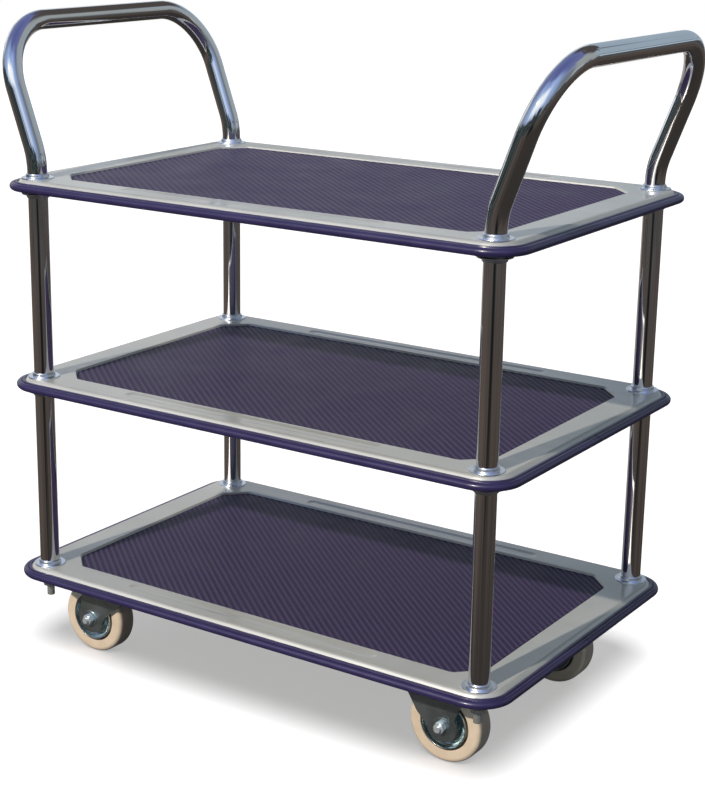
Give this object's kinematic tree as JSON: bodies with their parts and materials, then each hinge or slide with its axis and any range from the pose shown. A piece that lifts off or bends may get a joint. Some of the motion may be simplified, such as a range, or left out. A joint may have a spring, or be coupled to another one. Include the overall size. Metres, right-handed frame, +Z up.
{
  "type": "tool cart",
  "caption": "Multi-tier tray cart: pressed steel trays with rubber mats and bumpers on a bolted tube frame, push handles at both ends, rigid casters at one end and swivel casters at the other.",
  "frame": {"origin": "on the floor under the middle of the cart: centre of the bounding box in plan, at the bottom of the wheels", "axes": "+X towards the swivel-caster end along the long side, -Y towards the front long side, +Z up"},
  "size_m": [0.8062, 0.48, 0.8607],
  "materials": {
    "tray_paint": "satin",
    "mat_rubber": "matte",
    "bumper_rubber": "satin",
    "chromed_tube": "polished",
    "chromed_collar": "polished",
    "tyre_rubber": "matte",
    "rim_steel": "bright zinc",
    "bush_nylon": "matte",
    "fork_zinc": "dull zinc",
    "hardware_zinc": "zinc plated"
  },
  "bodies": {
    "frame": {"bottom_deck_bumper": "bumper_rubber", "bottom_deck_channels": "tray_paint", "bottom_deck_mat": "mat_rubber", "bottom_deck_pan": "tray_paint", "caster_nuts": "hardware_zinc", "caster_weld_studs": "hardware_zinc", "handle_leg_plugs": "hardware_zinc", "left_handle": "chromed_tube", "lower_collars": "chromed_collar", "lower_post_front_left": "chromed_tube", "lower_post_front_right": "chromed_tube", "lower_post_rear_left": "chromed_tube", "lower_post_rear_right": "chromed_tube", "middle_deck_bumper": "bumper_rubber", "middle_deck_channels": "tray_paint", "middle_deck_mat": "mat_rubber", "middle_deck_pan": "tray_paint", "right_handle": "chromed_tube", "rigid_axle_bolts": "hardware_zinc", "rigid_axle_nuts": "hardware_zinc", "rigid_axle_sleeves": "hardware_zinc", "rigid_caster_front_fork": "fork_zinc", "rigid_caster_rear_fork": "fork_zinc", "swivel_caster_front_top_plate": "fork_zinc", "swivel_caster_rear_top_plate": "fork_zinc", "swivel_kingpins": "hardware_zinc", "tie_rod_nuts": "hardware_zinc", "tie_rod_washers": "hardware_zinc", "tie_rods": "hardware_zinc", "top_deck_bumper": "bumper_rubber", "top_deck_channels": "tray_paint", "top_deck_mat": "mat_rubber", "top_deck_pan": "tray_paint", "upper_collars": "chromed_collar", "upper_post_front_left": "chromed_tube", "upper_post_front_right": "chromed_tube", "upper_post_rear_left": "chromed_tube", "upper_post_rear_right": "chromed_tube"},
    "front_swivel_fork": {"swivel_caster_front_fork": "fork_zinc", "swivel_caster_front_balls": "hardware_zinc", "swivel_front_axle_bolt": "hardware_zinc", "swivel_front_axle_nut": "hardware_zinc", "swivel_front_axle_sleeve": "hardware_zinc"},
    "rigid_front_wheel": {"rigid_front_wheel_rim": "rim_steel", "rigid_front_wheel_bush": "bush_nylon", "rigid_front_tyre": "tyre_rubber"},
    "swivel_front_wheel": {"swivel_front_wheel_rim": "rim_steel", "swivel_front_wheel_bush": "bush_nylon", "swivel_front_tyre": "tyre_rubber"},
    "rear_swivel_fork": {"swivel_caster_rear_fork": "fork_zinc", "swivel_caster_rear_balls": "hardware_zinc", "swivel_rear_axle_bolt": "hardware_zinc", "swivel_rear_axle_nut": "hardware_zinc", "swivel_rear_axle_sleeve": "hardware_zinc"},
    "rigid_rear_wheel": {"rigid_rear_wheel_rim": "rim_steel", "rigid_rear_wheel_bush": "bush_nylon", "rigid_rear_tyre": "tyre_rubber"},
    "swivel_rear_wheel": {"swivel_rear_wheel_rim": "rim_steel", "swivel_rear_wheel_bush": "bush_nylon", "swivel_rear_tyre": "tyre_rubber"}
  },
  "joints": [
    {"name": "front_caster_swivel", "type": "hinge", "parent": "frame", "child": "front_swivel_fork", "pos_m": [0.223, -0.139, 0.119], "axis": [0, 0, 1], "continuous": true},
    {"name": "front_swivel_wheel_spin", "type": "hinge", "parent": "front_swivel_fork", "child": "swivel_front_wheel", "pos_m": [0.258, -0.139, 0.0495], "axis": [0, 1, 0], "continuous": true},
    {"name": "front_rigid_wheel_spin", "type": "hinge", "parent": "frame", "child": "rigid_front_wheel", "pos_m": [-0.2995, -0.139, 0.0495], "axis": [0, 1, 0], "continuous": true},
    {"name": "rear_caster_swivel", "type": "hinge", "parent": "frame", "child": "rear_swivel_fork", "pos_m": [0.223, 0.139, 0.119], "axis": [0, 0, 1], "continuous": true},
    {"name": "rear_swivel_wheel_spin", "type": "hinge", "parent": "rear_swivel_fork", "child": "swivel_rear_wheel", "pos_m": [0.258, 0.139, 0.0495], "axis": [0, 1, 0], "continuous": true},
    {"name": "rear_rigid_wheel_spin", "type": "hinge", "parent": "frame", "child": "rigid_rear_wheel", "pos_m": [-0.2995, 0.139, 0.0495], "axis": [0, 1, 0], "continuous": true}
  ]
}
